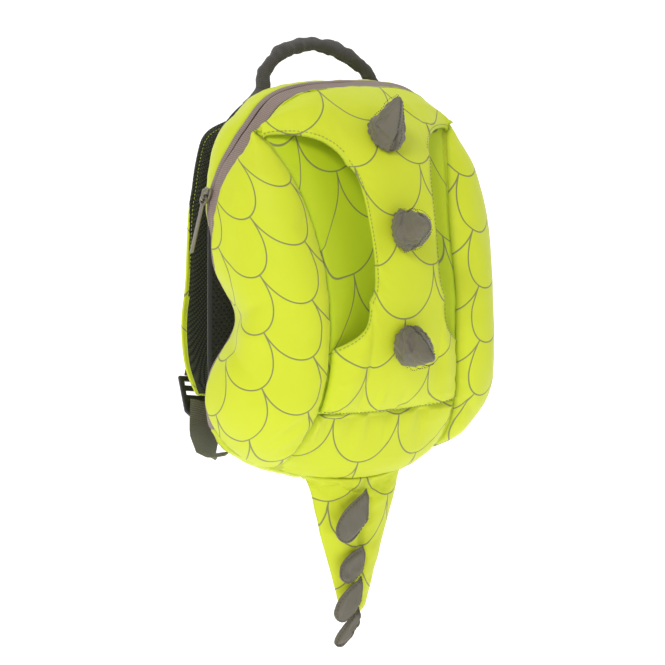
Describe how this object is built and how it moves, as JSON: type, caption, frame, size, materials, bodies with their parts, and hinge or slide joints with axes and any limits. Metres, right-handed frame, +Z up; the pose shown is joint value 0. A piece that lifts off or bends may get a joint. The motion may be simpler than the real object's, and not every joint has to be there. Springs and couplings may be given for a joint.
{
  "type": "child rucksack",
  "caption": "Small child's animal rucksack with a hollow zipped body, bridged stow panel, stuffed spikes, flat tail with fins, grab handle and padded shoulder straps.",
  "frame": {"origin": "the point under the grab handle's arch where a hook or peg carries the bag", "axes": "+Z up, -Y the way the bag's front faces, +X to the wearer's right"},
  "size_m": [0.2404, 0.2259, 0.4521],
  "materials": {
    "lime_cloth": "woven polyester, matt, printed with grey scale outlines",
    "shade_cloth": "the same cloth on the recessed front, matt",
    "taupe_cloth": "plain woven polyester, matt",
    "taupe_webbing": "ribbed polyester webbing, matt",
    "zip_tape": "woven zip tape, matt",
    "zip_coil": "nylon coil",
    "zip_metal": "satin",
    "black_mesh": "padded spacer mesh, matt",
    "black_plastic": "moulded, satin"
  },
  "bodies": {
    "bag": {"gusset_top": "lime_cloth", "gusset_bottom": "lime_cloth", "zip_tape_front": "zip_tape", "zip_tape_rear": "zip_tape", "zip_coil": "zip_coil", "cheek_right": "lime_cloth", "cheek_left": "lime_cloth", "centre_panel": "shade_cloth", "base_panel": "lime_cloth", "stow_panel": "lime_cloth", "back_panel": "black_mesh", "grab_handle": "taupe_webbing", "shoulder_strap_right": "lime_cloth", "shoulder_strap_left": "lime_cloth", "ladder_lock_right": "black_plastic", "ladder_lock_left": "black_plastic", "strap_tab_right": "taupe_webbing", "strap_tab_left": "taupe_webbing", "lower_webbing_right": "taupe_webbing", "lower_webbing_left": "taupe_webbing", "spike_top": "taupe_cloth", "spike_middle": "taupe_cloth", "spike_lower": "taupe_cloth", "tail": "lime_cloth", "tail_fin_1": "taupe_cloth", "tail_fin_2": "taupe_cloth", "tail_fin_3": "taupe_cloth", "tail_fin_4": "taupe_cloth", "zip_slider": "zip_metal"},
    "puller": {"zip_puller": "zip_metal"}
  },
  "joints": [
    {"name": "puller_hinge", "type": "hinge", "parent": "bag", "child": "puller", "pos_m": [-0.11589, -0.02608, -0.09996], "axis": [0.0506, 0.986, 0.1588], "range_deg": [0, 165]}
  ]
}
